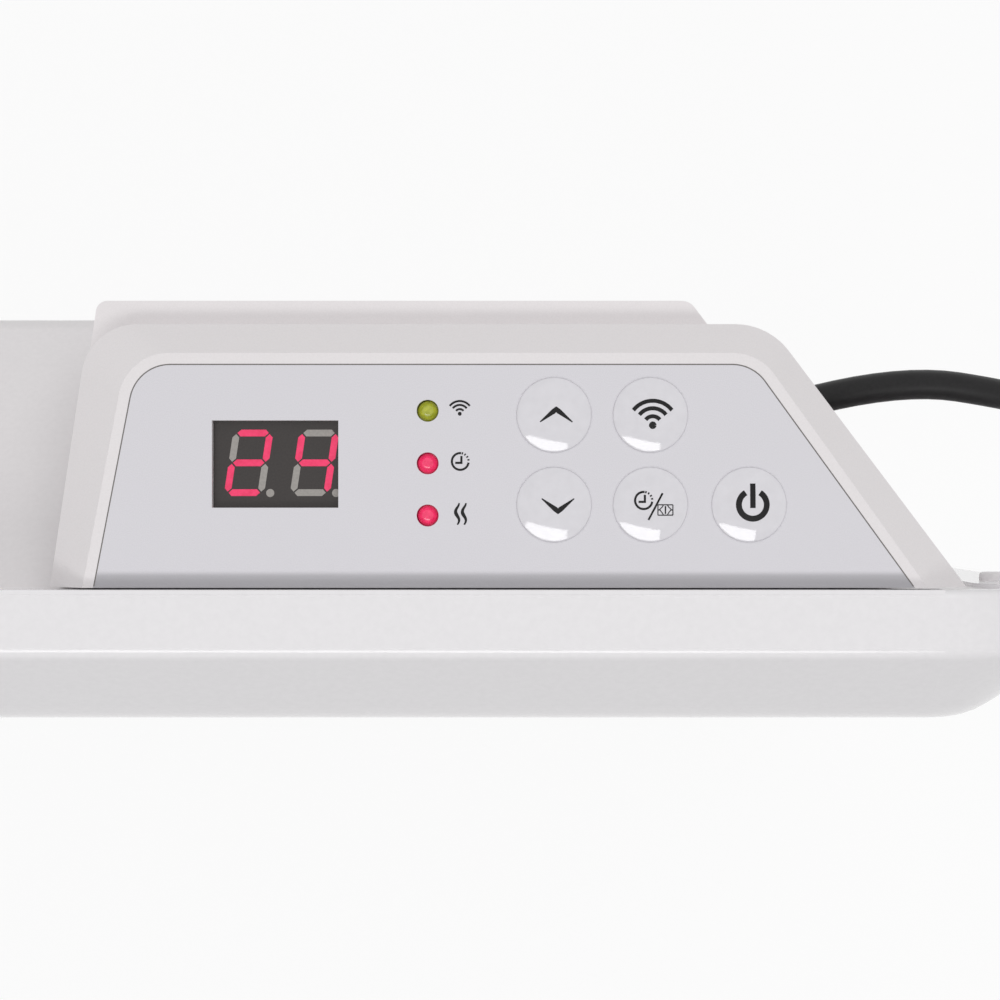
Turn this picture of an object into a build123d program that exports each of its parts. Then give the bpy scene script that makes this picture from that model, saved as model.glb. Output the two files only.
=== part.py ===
from build123d import *
import math
import os

# A slim panel heater with a touch housing on its right shoulder, in millimetres.
# It stands on the floor at Z = 0, its front faces -Y, and +X is its right seen from the front.

# Front panel
panel_width = 690.0
panel_height = 400.0
panel_bottom = 55.0
panel_corner = 34.0
panel_sheet = 1.0
face_y = -41.5
bevel_y = -26.1
lip_y = -12.0
bevel_width = 23.3
hem_width = 2.4
top_return = 6.0
side_return = 18.5
return_end_radius = 9.0

# Rear case
case_front_y = lip_y - panel_sheet - 0.8
case_back_y = 50.5
case_width = 634.0
case_height = 356.0
case_taper = 0.75
case_sheet = 0.8
case_corner = 30.0
case_back_corner = 20.0
case_back_bend = 6.0
slot_width = 4.0
slot_length = 42.0
slot_pitch = 9.0
slot_count = 38
slot_middle_x = -88.0
bracket_hole = 2.5
bracket_pitch_x = 320.0
bracket_pitch_z = 160.0
rim_screw_inset = 11.0
rim_screw_pitch = 140.0
wiring_opening = (112, 28)
clearance_radius = 1.6

# Control housing, placed about its own middle
housing_x = 217.0
housing_y = 7.0
fascia_z = 451.0
film_thickness = 0.4
cover_plate = 2.2
band_foot_z = 444.6
parting_z = 439.0
housing_wall = 2.2
front_gap_y = -18.7
fascia_corner = 8.8
rim_corner = 10.8
band_corner = 14.5

# Buttons, lamps and display
button_radius = 8.0
button_gap = 0.2
button_rise = 1.3
button_edge = 0.35
button_places = {
    "up": (11.5, 18.1),
    "wifi": (32.0, 18.1),
    "down": (11.5, -1.0),
    "timer": (32.0, -1.0),
    "power": (53.0, -1.0),
}
lamp_places = {"wifi": (-15.4, 19.0), "timer": (-15.4, 7.8), "heat": (-15.4, -3.3)}
lamp_radius = 2.08
lamp_hole = 2.35
window_size = (26.9, 18.6)
window_middle = (-47.85, 7.65)

# Boards
board_top_z = 441.5
board_thickness = 1.6
board_outline = [(-68, -12), (67, -12), (67, 4), (48, 26.5), (-68, 26.5)]
board_posts = [(-64.5, -8.5), (-64.5, 23), (43, 23), (63.5, -8.5)]
key_height = 3.5
key_size = 6.0
plunger_radius = 1.7

# Heating element
element_left = -238.0
element_right = 80.0
element_y = 16.0
element_z = 150.0
hub_radius = 8.0
fin_length = 29.0
fin_thickness = 1.6
fin_angle = 50.0
bush_radius = 7.0
bush_length = 16.0
bracket_height = 32.0

# Safety parts and wiring inside the case
cutout_at = (-100.0, 212.0)
sensor_at = (126.0, 28.0, 140.0)
baffle_x = 104.0
tilt_at = (196.0, 24.0, 205.0)
tilt_pivot_rise = 3.0
stud_at = (150.0, 250.0)
wire_radius = 1.3

# Power board, its parts placed about its own middle
power_board_middle = (206.0, 320.0)
power_board_size = (110.0, 84.0)
power_board_stand = 6.0
relay_at = (30, -18)
transformer_at = (-8, 14)
terminals_at = (-28, -22)
terminal_pitch = 11.0
terminal_height = 16.0

# Mains lead
cord_radius = 3.4
gland_turn = 14.0
gland_tip = (72.0, 22.9)
cord_z = 413.0
gland_bore = 5.0
gland_boss_back = 24.0
coil_middle = (572.0, 25.0)
coil_turns = 5.5
coil_outer = 47.4
coil_inner = 27.3
coil_rise = 7.6
plug_axis_z = 18.6
plug_length = 62.0
plug_tail = 54.0
pin_radius = 2.4
pin_length = 19.0
pin_pitch = 19.0

# Feet
foot_x = 240.0
foot_width = 36.0
foot_reach = 79.0
pad_height = 4.5
pad_radius = 9.0
pad_y = 62.0
skid_z = 2.5
foot_screw_pitch = 20.0
foot_screw_y = 14.0
foot_screw_radius = 2.0

half_width = panel_width / 2
half_height = panel_height / 2
panel_top = panel_bottom + panel_height
panel_middle = panel_bottom + half_height
corner_x = half_width - panel_corner
corner_z = panel_top - panel_corner
case_depth = case_back_y - case_front_y

os.makedirs("parts", exist_ok=True)


def facing_back(y):
    """Plane at depth y that faces the wall, with X to the right and Z down the plane."""
    return Plane(origin=(0, y, panel_middle), x_dir=(1, 0, 0), z_dir=(0, 1, 0))


def facing_front(x, y, z):
    """Plane through a point that faces the front, with X to the right and Z up the plane."""
    return Plane(origin=(x, y, z), x_dir=(1, 0, 0), z_dir=(0, -1, 0))


def housing(z):
    """Level plane at height z about the middle of the control housing."""
    return Plane(origin=(housing_x, housing_y, z))


# Front panel: a pressed steel tray, its rolled edge carried round the four corners
def tray_section(plane, reach):
    with BuildSketch(plane) as section:
        with BuildLine():
            outside = FilletPolyline(
                (reach - hem_width, lip_y),
                (reach, lip_y),
                (reach, bevel_y),
                (reach - bevel_width, face_y),
                (reach - panel_corner, face_y),
                radius=[1.6, 3.4, 19.0],
            )
            offset(outside, panel_sheet, side=Side.RIGHT)
        make_face()
    return section.sketch


top_plane = Plane(origin=(corner_x, 0, panel_middle), x_dir=(0, 0, 1), z_dir=(-1, 0, 0))
side_plane = Plane(origin=(0, 0, panel_middle), x_dir=(1, 0, 0), z_dir=(0, 0, 1))
side_return_x = half_width - panel_sheet - side_return / 2
with BuildPart() as front_panel:
    extrude(tray_section(top_plane, half_height), amount=corner_x)
    extrude(tray_section(side_plane, half_width), amount=half_height - panel_corner)
    revolve(
        tray_section(top_plane, half_height),
        axis=Axis((corner_x, 0, corner_z), (0, 1, 0)),
        revolution_arc=90,
    )
    mirror(about=Plane.YZ)
    mirror(about=Plane.XY.offset(panel_middle))
    with BuildSketch(facing_back(face_y)):
        Rectangle(2 * corner_x, 2 * (half_height - panel_corner))
    extrude(amount=panel_sheet)
    # Returned lips, along the straight edges only, which the case is screwed to
    with BuildSketch(facing_back(lip_y - panel_sheet)):
        with GridLocations(2 * side_return_x, 0, 2, 1):
            RectangleRounded(side_return, 2 * (half_height - panel_corner), return_end_radius)
        with GridLocations(2 * (half_width - panel_sheet - side_return / 4), 0, 2, 1):
            Rectangle(side_return / 2, 2 * (half_height - panel_corner) - 2 * return_end_radius)
        with GridLocations(0, panel_height - panel_sheet - top_return, 1, 2):
            Rectangle(2 * corner_x, top_return + panel_sheet)
    extrude(amount=panel_sheet)
    with BuildSketch(facing_back(lip_y)):
        with GridLocations(2 * (half_width - rim_screw_inset), rim_screw_pitch, 2, 3):
            Circle(2.1)
    extrude(amount=-panel_sheet, mode=Mode.SUBTRACT)


# Rear case: a tapered pressed pan with a flat rim that seats behind the panel's lips
def pan(inset, front_y, back_y, bend):
    with BuildPart() as body:
        for y, corner in ((front_y, case_corner), (back_y, case_back_corner)):
            narrowing = 2 * (case_taper * (y - case_front_y) + inset)
            with BuildSketch(facing_back(y)):
                RectangleRounded(case_width - narrowing, case_height - narrowing, corner)
        loft()
        fillet(body.faces().sort_by(Axis.Y)[-1].edges(), bend)
    return body.part


def on_slope(x, y, below=False):
    """Plane on the case's top or bottom slope, facing out of it."""
    rise = case_height / 2 - case_taper * (y - case_front_y)
    side = -1 if below else 1
    return Plane(
        origin=(x, y, panel_middle + side * rise),
        x_dir=(1, 0, 0),
        z_dir=(0, case_taper, side),
    )


case_solid = pan(0, case_front_y, case_back_y, case_back_bend)
slope_middle_y = case_front_y + case_depth / 2
wall_run = case_sheet * math.hypot(1, case_taper)
case_screws_at = [
    (side * (half_width - rim_screw_inset), row * rim_screw_pitch) for side in (-1, 1) for row in (-1, 0, 1)
]
with BuildPart() as rear_case:
    with BuildSketch(facing_back(case_front_y)):
        RectangleRounded(
            panel_width - 2 * panel_sheet - 2.4, panel_height - 2 * panel_sheet - 2.4, panel_corner - 2.2
        )
    extrude(amount=case_sheet)
    add(case_solid)
    add(
        pan(wall_run, case_front_y, case_back_y - case_sheet, case_back_bend - case_sheet),
        mode=Mode.SUBTRACT,
    )
    # Warm air leaves through the upper slots and cool air enters through the lower ones
    for below in (False, True):
        with BuildSketch(on_slope(slot_middle_x, slope_middle_y, below)):
            with GridLocations(slot_pitch, 0, slot_count, 1):
                SlotOverall(slot_length, slot_width, rotation=90)
        extrude(amount=3, both=True, mode=Mode.SUBTRACT)
    # Wiring passes up into the control housing
    with BuildSketch(on_slope(housing_x - 12, 14)):
        RectangleRounded(*wiring_opening, 4)
    extrude(amount=4, both=True, mode=Mode.SUBTRACT)
    # Wall bracket holes in the back
    with BuildSketch(facing_back(case_back_y)):
        with GridLocations(bracket_pitch_x, bracket_pitch_z, 2, 2):
            Circle(bracket_hole)
    extrude(amount=-4, mode=Mode.SUBTRACT)
    # Clearance holes for the rim screws, the foot screws and the housing screws
    with BuildSketch(facing_back(case_front_y)):
        with Locations(*case_screws_at):
            Circle(clearance_radius)
    extrude(amount=4, both=True, mode=Mode.SUBTRACT)
    for side in (-1, 1):
        with BuildSketch(on_slope(side * foot_x, foot_screw_y, True)):
            with GridLocations(foot_screw_pitch, 0, 2, 1):
                Circle(foot_screw_radius + 0.1)
        extrude(amount=4, both=True, mode=Mode.SUBTRACT)

with BuildPart() as case_screws:
    for x, z in case_screws_at:
        head = Plane(origin=(x, lip_y, panel_middle + z), z_dir=(0, 1, 0))
        with BuildSketch(head):
            Circle(3.6)
        extrude(amount=2.0)
        with BuildSketch(head):
            Circle(clearance_radius)
        extrude(amount=-9)
    fillet(case_screws.faces().sort_by(Axis.Y)[-6:].edges(), 0.9)


# Control housing: each outline is in plan and runs from its front left point round the back
def plan(points, corner_left, corner_right):
    """Four-sided outline whose two rear corners are rounded."""
    with BuildLine() as outline:
        FilletPolyline(*points, radius=[corner_left, corner_right])
        Line(points[-1], points[0])
    return outline.line


fascia_points = [(-86.6, front_gap_y), (-77.5, 29.0), (53.9, 29.0), (88.3, front_gap_y)]
rim_points = [(-88.9, front_gap_y), (-79.4, 31.3), (55.1, 31.3), (91.0, front_gap_y)]
band_points = [(-97.0, front_gap_y), (-88.6, 37.9), (57.9, 37.9), (100.5, front_gap_y)]
cavity_points = [(-94.4, -16.5), (-86.6, 35.6), (56.4, 35.6), (96.0, -16.5)]
base_points = [(-97.0, front_gap_y), (-87.7, 43.4), (41.3, 43.4), (88.0, front_gap_y)]
base_inside = [(-94.5, -16.5), (-85.7, 41.2), (40.2, 41.2), (83.6, -16.5)]
cover_screws_at = [(-82, -12), (-77, 28), (44, 30.5), (76, -12)]

with BuildPart() as housing_cover:
    with BuildSketch(housing(band_foot_z)):
        make_face(plan(band_points, 12, band_corner))
    with BuildSketch(housing(fascia_z)):
        make_face(plan(rim_points, rim_corner, rim_corner))
    loft()
    with BuildSketch(housing(parting_z)):
        make_face(plan(band_points, 12, band_corner))
    extrude(amount=band_foot_z - parting_z)
    with BuildSketch(housing(parting_z)):
        make_face(plan(cavity_points, 10, 12))
    extrude(amount=band_foot_z - 1.5 - parting_z, mode=Mode.SUBTRACT)
    with BuildSketch(housing(parting_z)):
        make_face(plan([(-86.0, -16.5), (-77.6, 28.8), (53.4, 28.8), (86.0, -16.5)], 8, 8))
    extrude(amount=fascia_z - film_thickness - cover_plate - parting_z, mode=Mode.SUBTRACT)
    with BuildSketch(housing(fascia_z)):
        make_face(plan(fascia_points, fascia_corner, fascia_corner))
    extrude(amount=-film_thickness, mode=Mode.SUBTRACT)
    with BuildSketch(housing(fascia_z)):
        with Locations(*button_places.values()):
            Circle(button_radius + button_gap)
        with Locations(*lamp_places.values()):
            Circle(lamp_hole)
        with Locations(window_middle):
            Rectangle(*window_size)
    extrude(amount=-film_thickness - cover_plate - 0.5, mode=Mode.SUBTRACT)
    # Posts for the board and for the screws that close the housing
    with BuildSketch(housing(board_top_z)):
        with Locations(*board_posts):
            Circle(2.6)
            Circle(1.1, mode=Mode.SUBTRACT)
    extrude(amount=fascia_z - film_thickness - cover_plate - board_top_z)
    with BuildSketch(housing(parting_z)):
        with Locations(*cover_screws_at):
            Circle(3.2)
            Circle(1.2, mode=Mode.SUBTRACT)
    extrude(amount=band_foot_z - 1.0 - parting_z)

with BuildPart() as fascia_film:
    with BuildSketch(housing(fascia_z - film_thickness)):
        make_face(plan(fascia_points, fascia_corner, fascia_corner))
        with Locations(*button_places.values()):
            Circle(button_radius + button_gap, mode=Mode.SUBTRACT)
        with Locations(*lamp_places.values()):
            Circle(lamp_hole, mode=Mode.SUBTRACT)
        with Locations(window_middle):
            Rectangle(*window_size, mode=Mode.SUBTRACT)
    extrude(amount=film_thickness)

# The base stands on the case's slope and carries the lead's strain relief in its slanting side
gland_way = (math.cos(math.radians(gland_turn)), math.sin(math.radians(gland_turn)), 0)
gland_end = (housing_x + gland_tip[0], housing_y + gland_tip[1], cord_z)


def on_gland(back):
    """Plane square to the strain relief, a distance behind its tip."""
    origin = tuple(e - back * w for e, w in zip(gland_end, gland_way))
    return Plane(origin=origin, z_dir=gland_way)


with BuildPart() as housing_base:
    with BuildSketch(housing(parting_z)):
        make_face(plan(base_points, 2.5, 3.5))
    extrude(amount=-60)
    with BuildSketch(housing(parting_z - housing_wall)):
        make_face(plan(base_inside, 2, 3))
    extrude(amount=-60, mode=Mode.SUBTRACT)
    with BuildSketch(on_gland(gland_boss_back)):
        Circle(gland_bore + 4)
    extrude(amount=gland_boss_back / 2)
    with BuildSketch(on_gland(gland_boss_back)):
        Circle(gland_bore)
    extrude(amount=gland_boss_back / 2, mode=Mode.SUBTRACT)
    with BuildSketch(on_gland(gland_boss_back / 2)):
        Circle(gland_bore + 2.2)
    extrude(amount=8, mode=Mode.SUBTRACT)
    # Opening in the deck for the ribbon, and holes for the closing screws
    with BuildSketch(housing(parting_z)):
        with Locations((-10, 10)):
            RectangleRounded(120, 24, 3)
        with Locations(*cover_screws_at):
            Circle(clearance_radius)
    extrude(amount=-housing_wall, mode=Mode.SUBTRACT)
    add(case_solid, mode=Mode.SUBTRACT)

with BuildPart() as housing_screws:
    for x, y in cover_screws_at:
        head = Plane(origin=(housing_x + x, housing_y + y, parting_z - housing_wall), z_dir=(0, 0, -1))
        with BuildSketch(head):
            Circle(2.6)
        extrude(amount=1.6)
        with BuildSketch(head):
            Circle(1.2)
        extrude(amount=-6)


# Buttons: a domed cap held under the cover by its flange, standing on a sprung key
plate_under_z = fascia_z - film_thickness - cover_plate
flange_top_z = plate_under_z - 0.15
flange_bottom_z = flange_top_z - 1.2
plunger_top_z = flange_bottom_z - 0.8
plunger_foot_z = board_top_z + 2.0


def button_cap(x, y):
    edge_z = fascia_z + button_edge
    crown_radius = (button_radius**2 + button_rise**2) / (2 * button_rise)
    shoulder_z = edge_z + button_rise - crown_radius + math.sqrt(crown_radius**2 - 16)
    place = Plane(origin=(housing_x + x, housing_y + y, 0), x_dir=(1, 0, 0), z_dir=(0, -1, 0))
    with BuildPart() as cap:
        with BuildSketch(place):
            with BuildLine():
                Polyline(
                    (0, edge_z + button_rise),
                    (0, plunger_top_z),
                    (2.2, plunger_top_z),
                    (2.2, flange_bottom_z),
                    (button_radius + 1, flange_bottom_z),
                    (button_radius + 1, flange_top_z),
                    (button_radius, flange_top_z),
                    (button_radius, edge_z),
                )
                ThreePointArc((button_radius, edge_z), (4, shoulder_z), (0, edge_z + button_rise))
            make_face()
        revolve(axis=Axis((housing_x + x, housing_y + y, 0), (0, 0, 1)))
        rim = cap.edges().filter_by(GeomType.CIRCLE).filter_by_position(Axis.Z, edge_z - 0.01, edge_z + 0.01)
        fillet(rim, 0.5)
    return cap.part


def key_plunger(x, y):
    with BuildPart() as plunger:
        with BuildSketch(housing(plunger_foot_z)):
            with Locations((x, y)):
                Circle(plunger_radius)
        extrude(amount=plunger_top_z - plunger_foot_z)
        chamfer(plunger.edges().sort_by(Axis.Z)[-1], 0.3)
    return plunger.part


for key, (key_x, key_y) in button_places.items():
    cap = button_cap(key_x, key_y)
    cap.label = f"button_{key}"
    export_step(cap, f"parts/button_{key}.step")
    plunger = key_plunger(key_x, key_y)
    plunger.label = f"plunger_{key}"
    export_step(plunger, f"parts/plunger_{key}.step")

with BuildPart() as key_switches:
    with BuildSketch(housing(board_top_z)):
        with Locations(*button_places.values()):
            Rectangle(key_size, key_size)
    extrude(amount=key_height)
    with BuildSketch(housing(board_top_z + 1.5)):
        with Locations(*button_places.values()):
            Circle(plunger_radius + 0.15)
    extrude(amount=key_height - 1.5, mode=Mode.SUBTRACT)

with BuildPart() as display_module:
    with BuildSketch(housing(board_top_z)):
        with Locations(window_middle):
            Rectangle(30, 20.4)
    extrude(amount=plate_under_z - board_top_z)
    chamfer(display_module.edges().filter_by(Axis.Z), 0.4)


# Lamps: one lens to each lamp, with a flange seated on the board
def lamp(x, y):
    with BuildPart() as lens:
        with BuildSketch(housing(board_top_z)):
            with Locations((x, y)):
                Circle(lamp_radius + 0.4)
        extrude(amount=1)
        with BuildSketch(housing(board_top_z)):
            with Locations((x, y)):
                Circle(lamp_radius)
        extrude(amount=fascia_z - 0.6 - board_top_z)
        fillet(lens.edges().sort_by(Axis.Z)[-1], lamp_radius * 0.8)
    return lens.part


for sign, (lamp_x, lamp_y) in lamp_places.items():
    lens = lamp(lamp_x, lamp_y)
    lens.label = f"lamp_{sign}"
    export_step(lens, f"parts/lamp_{sign}.step")

with BuildPart() as control_board:
    with BuildSketch(housing(board_top_z)):
        with BuildLine():
            Polyline(*board_outline, close=True)
        make_face()
        with Locations(*board_posts):
            Circle(1.1, mode=Mode.SUBTRACT)
    extrude(amount=-board_thickness)

with BuildPart() as board_screws:
    for x, y in board_posts:
        head = Plane(
            origin=(housing_x + x, housing_y + y, board_top_z - board_thickness), z_dir=(0, 0, -1)
        )
        with BuildSketch(head):
            Circle(2.0)
        extrude(amount=0.8)
        with BuildSketch(head):
            Circle(1.1)
        extrude(amount=-6)


# Heating element: a finned aluminium bar between two ceramic bushes
def on_element(x):
    return Plane(origin=(x, element_y, element_z), x_dir=(0, 1, 0), z_dir=(1, 0, 0))


element_length = element_right - element_left
with BuildPart() as heating_element:
    with BuildSketch(on_element(element_left)):
        Circle(hub_radius)
        for turn in (fin_angle, 180 - fin_angle, 180 + fin_angle, -fin_angle):
            with Locations(Pos() * Rot(0, 0, turn)):
                Rectangle(
                    hub_radius + fin_length, fin_thickness, align=(Align.MIN, Align.CENTER)
                )
    extrude(amount=element_length)
    # Slits let the air cross the fins
    for turn in (fin_angle, 180 - fin_angle):
        across = Plane(
            origin=((element_left + element_right) / 2, element_y, element_z),
            x_dir=(1, 0, 0),
            z_dir=(0, -math.sin(math.radians(turn)), math.cos(math.radians(turn))),
        )
        with BuildSketch(across):
            with GridLocations(30, 2 * (hub_radius + fin_length / 2 + 1), 12, 2):
                RectangleRounded(20, fin_length - 12, 2)
        extrude(amount=2, both=True, mode=Mode.SUBTRACT)

with BuildPart() as ceramic_bushes:
    for x, way in ((element_left, -1), (element_right, 1)):
        with BuildSketch(Plane(origin=(x, element_y, element_z), z_dir=(way, 0, 0))):
            Circle(bush_radius)
        extrude(amount=bush_length)
        with BuildSketch(Plane(origin=(x, element_y, element_z), z_dir=(way, 0, 0))):
            Circle(bush_radius + 3)
        extrude(amount=3)

inner_back_y = case_back_y - case_sheet
with BuildPart() as element_brackets:
    for x, way in ((element_left - 3, -1), (element_right + 3, 1)):
        with BuildSketch(Plane(origin=(x, 0, element_z), x_dir=(0, 1, 0), z_dir=(way, 0, 0))):
            with Locations(((element_y + inner_back_y) / 2 - 6, 0)):
                RectangleRounded(inner_back_y - element_y + 12, bracket_height, 4)
            with Locations((inner_back_y - 5, 0)):
                Rectangle(10, bracket_height)
            with Locations((element_y, 0)):
                Circle(bush_radius, mode=Mode.SUBTRACT)
        extrude(amount=1.2)
        with BuildSketch(facing_front(x, inner_back_y, element_z)):
            with Locations((way * 8, 0)):
                Rectangle(16, bracket_height)
                Circle(clearance_radius, mode=Mode.SUBTRACT)
        extrude(amount=1.2)

with BuildPart() as bracket_screws:
    for x in (element_left - 11, element_right + 11):
        head = facing_front(x, inner_back_y - 1.2, element_z)
        with BuildSketch(head):
            Circle(3.2)
        extrude(amount=2)
        with BuildSketch(head):
            Circle(clearance_radius)
        extrude(amount=-1.2)

# Safety parts beside the element
with BuildPart() as cutout_bracket:
    with BuildSketch(facing_back(inner_back_y)):
        with Locations((cutout_at[0], panel_middle - cutout_at[1])):
            Rectangle(26, 34)
    extrude(amount=-1.0)
    with BuildSketch(Plane.XY.offset(cutout_at[1] - 17)):
        with Locations((cutout_at[0], inner_back_y - 12)):
            Rectangle(26, 24)
    extrude(amount=1.0)

with BuildPart() as thermal_cutout:
    with BuildSketch(Plane.XY.offset(cutout_at[1] - 16)):
        with Locations((cutout_at[0], inner_back_y - 14)):
            Circle(8)
    extrude(amount=9)
    with BuildSketch(Plane.XY.offset(cutout_at[1] - 7)):
        with Locations((cutout_at[0] - 5, inner_back_y - 14), (cutout_at[0] + 5, inner_back_y - 14)):
            Rectangle(0.8, 6.3)
    extrude(amount=8)

with BuildPart() as air_sensor:
    with BuildSketch(Plane.XY.offset(sensor_at[2])):
        with Locations(sensor_at[:2]):
            Circle(2)
    extrude(amount=9)
    fillet(air_sensor.edges().sort_by(Axis.Z)[0], 1.5)

with BuildPart() as sensor_clip:
    with BuildSketch(Plane.XY.offset(sensor_at[2] + 3)):
        with Locations((sensor_at[0], (sensor_at[1] + inner_back_y) / 2)):
            Rectangle(7, inner_back_y - sensor_at[1])
        with Locations(sensor_at[:2]):
            Circle(3.5)
            Circle(2, mode=Mode.SUBTRACT)
    extrude(amount=3)

# Baffle that keeps the warm air away from the electronics
with BuildPart() as heat_baffle:
    with BuildSketch(Plane(origin=(baffle_x, 0, panel_middle), x_dir=(0, 1, 0), z_dir=(1, 0, 0))):
        reach_front = case_height / 2 - wall_run - 1
        reach_back = reach_front - case_taper * (inner_back_y - case_front_y) - 3
        with BuildLine():
            Polyline(
                (case_front_y, -reach_front),
                (inner_back_y - 4, -reach_back),
                (inner_back_y, -reach_back + 6),
                (inner_back_y, reach_back - 6),
                (inner_back_y - 4, reach_back),
                (case_front_y, reach_front),
                close=True,
            )
        make_face()
        with Locations((element_y, element_z - panel_middle), (30, 262 - panel_middle)):
            Circle(2.5, mode=Mode.SUBTRACT)
    extrude(amount=0.8)
    with BuildSketch(facing_front(baffle_x, inner_back_y, panel_middle)):
        with Locations((6, 0)):
            Rectangle(12, 2 * (reach_back - 12))
    extrude(amount=0.8)

# Power board behind the control housing, on four posts
power_board_back_y = inner_back_y - power_board_stand
power_plane = facing_front(power_board_middle[0], power_board_back_y, power_board_middle[1])
with BuildPart() as power_board:
    with BuildSketch(power_plane):
        Rectangle(*power_board_size)
    extrude(amount=board_thickness)

with BuildPart() as power_board_posts:
    with BuildSketch(power_plane):
        with GridLocations(power_board_size[0] - 10, power_board_size[1] - 10, 2, 2):
            Circle(3)
    extrude(amount=-power_board_stand)

face_plane = power_plane.offset(board_thickness)
with BuildPart() as power_relay:
    with BuildSketch(face_plane):
        with Locations(relay_at):
            Rectangle(19, 15.5)
    extrude(amount=15.5)
    chamfer(power_relay.faces().sort_by(Axis.Y)[0].edges(), 0.6)

with BuildPart() as supply_transformer:
    with BuildSketch(face_plane):
        with Locations(transformer_at):
            Rectangle(28, 22)
    extrude(amount=10)
    with BuildSketch(face_plane):
        with Locations(transformer_at):
            Rectangle(16, 30)
    extrude(amount=18)

with BuildPart() as capacitors:
    for x, y, radius, height in ((24, 14, 6.3, 20), (38, 14, 5, 12), (20, -4, 4, 11)):
        with BuildSketch(face_plane):
            with Locations((x, y)):
                Circle(radius)
        extrude(amount=height)
    fillet(capacitors.edges().filter_by(GeomType.CIRCLE).group_by(Axis.Y)[0], 0.8)

with BuildPart() as terminal_block:
    with BuildSketch(face_plane):
        with Locations(terminals_at):
            Rectangle(36, 18)
    extrude(amount=terminal_height)
    with BuildSketch(face_plane.offset(terminal_height)):
        with Locations(terminals_at):
            with GridLocations(terminal_pitch, 0, 3, 1):
                Circle(3)
    extrude(amount=-9, mode=Mode.SUBTRACT)

with BuildPart() as terminal_screws:
    with BuildSketch(face_plane.offset(terminal_height - 9)):
        with Locations(terminals_at):
            with GridLocations(terminal_pitch, 0, 3, 1):
                Circle(2.9)
    extrude(amount=3)

# Tip-over switch: a weight that swings inside a small box and opens the supply
tilt_pivot_z = tilt_at[2] + tilt_pivot_rise
with BuildPart() as tilt_box:
    with BuildSketch(Plane.XY.offset(tilt_at[2] - 22)):
        with Locations((tilt_at[0], tilt_at[1] + 4.85)):
            Rectangle(20, 41.7)
    extrude(amount=32)
    with BuildSketch(Plane.XY.offset(tilt_at[2] - 20.5)):
        with Locations(tilt_at[:2]):
            Rectangle(17, 29)
    extrude(amount=29, mode=Mode.SUBTRACT)
    with BuildSketch(Plane(origin=(tilt_at[0] - 9, tilt_at[1], tilt_pivot_z), z_dir=(1, 0, 0))):
        Circle(1.3)
    extrude(amount=18)

with BuildPart() as tilt_weight:
    pivot = (tilt_at[0] - 3, tilt_at[1], tilt_pivot_z)
    with BuildSketch(Plane(origin=pivot, x_dir=(0, 1, 0), z_dir=(1, 0, 0))):
        Circle(3)
        with Locations((0, -7)):
            Rectangle(4, 14)
        with Locations((0, -15)):
            Circle(5)
        Circle(1.36, mode=Mode.SUBTRACT)
    extrude(amount=6)

# Earth stud with its tag and nut
with BuildPart() as earth_stud:
    with BuildSketch(facing_front(stud_at[0], inner_back_y, stud_at[1])):
        Circle(2)
    extrude(amount=14)
with BuildPart() as earth_nut:
    with BuildSketch(facing_front(stud_at[0], inner_back_y - 1, stud_at[1])):
        RegularPolygon(4, 6)
        Circle(2, mode=Mode.SUBTRACT)
    extrude(amount=3.2)
with BuildPart() as earth_tag:
    with BuildSketch(facing_front(stud_at[0], inner_back_y, stud_at[1])):
        Circle(4.2)
        with Locations((0, 9)):
            Rectangle(4, 18)
        Circle(2, mode=Mode.SUBTRACT)
    extrude(amount=1)


# Wires and leads
def tube(points, radius, bends):
    with BuildPart() as wire:
        with BuildLine() as path:
            FilletPolyline(*points, radius=bends)
        with BuildSketch(Plane(origin=path.line @ 0, z_dir=path.line % 0)):
            Circle(radius)
        sweep()
    return wire.part, path.wires()[0]


block_x = power_board_middle[0] + terminals_at[0]
block_z = power_board_middle[1] + terminals_at[1] - 9
lead_y = power_board_back_y - 10
element_lead, _ = tube(
    [
        (element_right + bush_length, element_y, element_z),
        (baffle_x + 22, element_y, element_z),
        (baffle_x + 40, 24, 200),
        (block_x - terminal_pitch, lead_y, 240),
        (block_x - terminal_pitch, lead_y, block_z),
    ],
    wire_radius,
    [5, 12, 12],
)
cutout_lead, _ = tube(
    [
        (cutout_at[0] + 5, inner_back_y - 14, cutout_at[1] + 1),
        (cutout_at[0] + 5, inner_back_y - 14, cutout_at[1] + 30),
        (60, inner_back_y - 18, 262),
        (block_x - 26, lead_y - 6, 262),
        (block_x, lead_y - 6, 268),
        (block_x, lead_y, 278),
        (block_x, lead_y, block_z),
    ],
    wire_radius,
    [10, 20, 20, 5, 4],
)
earth_lead, _ = tube(
    [
        (stud_at[0], inner_back_y - 2.4, stud_at[1] + 14),
        (stud_at[0], inner_back_y - 8, stud_at[1] + 26),
        (block_x + terminal_pitch, lead_y + 5, 274),
        (block_x + terminal_pitch, lead_y, 282),
        (block_x + terminal_pitch, lead_y, block_z),
    ],
    wire_radius,
    [4, 5, 2],
)
for name, wire in (
    ("element_lead", element_lead), ("cutout_lead", cutout_lead), ("earth_lead", earth_lead)
):
    wire.label = name
    export_step(wire, f"parts/{name}.step")

with BuildPart() as ribbon_cable:
    with BuildLine() as ribbon_path:
        FilletPolyline(
            (housing_x - 40, housing_y + 10, board_top_z - board_thickness),
            (housing_x - 40, housing_y + 10, 424),
            (housing_x - 40, power_board_back_y - 24, 396),
            (housing_x - 40, power_board_back_y - 24, 350),
            (housing_x - 40, power_board_back_y - 1.6, 350),
            radius=[6, 6, 5],
        )
    with BuildSketch(Plane(origin=ribbon_path.line @ 0, x_dir=(1, 0, 0), z_dir=(0, 0, -1))):
        Rectangle(13, 1)
    sweep()

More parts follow.
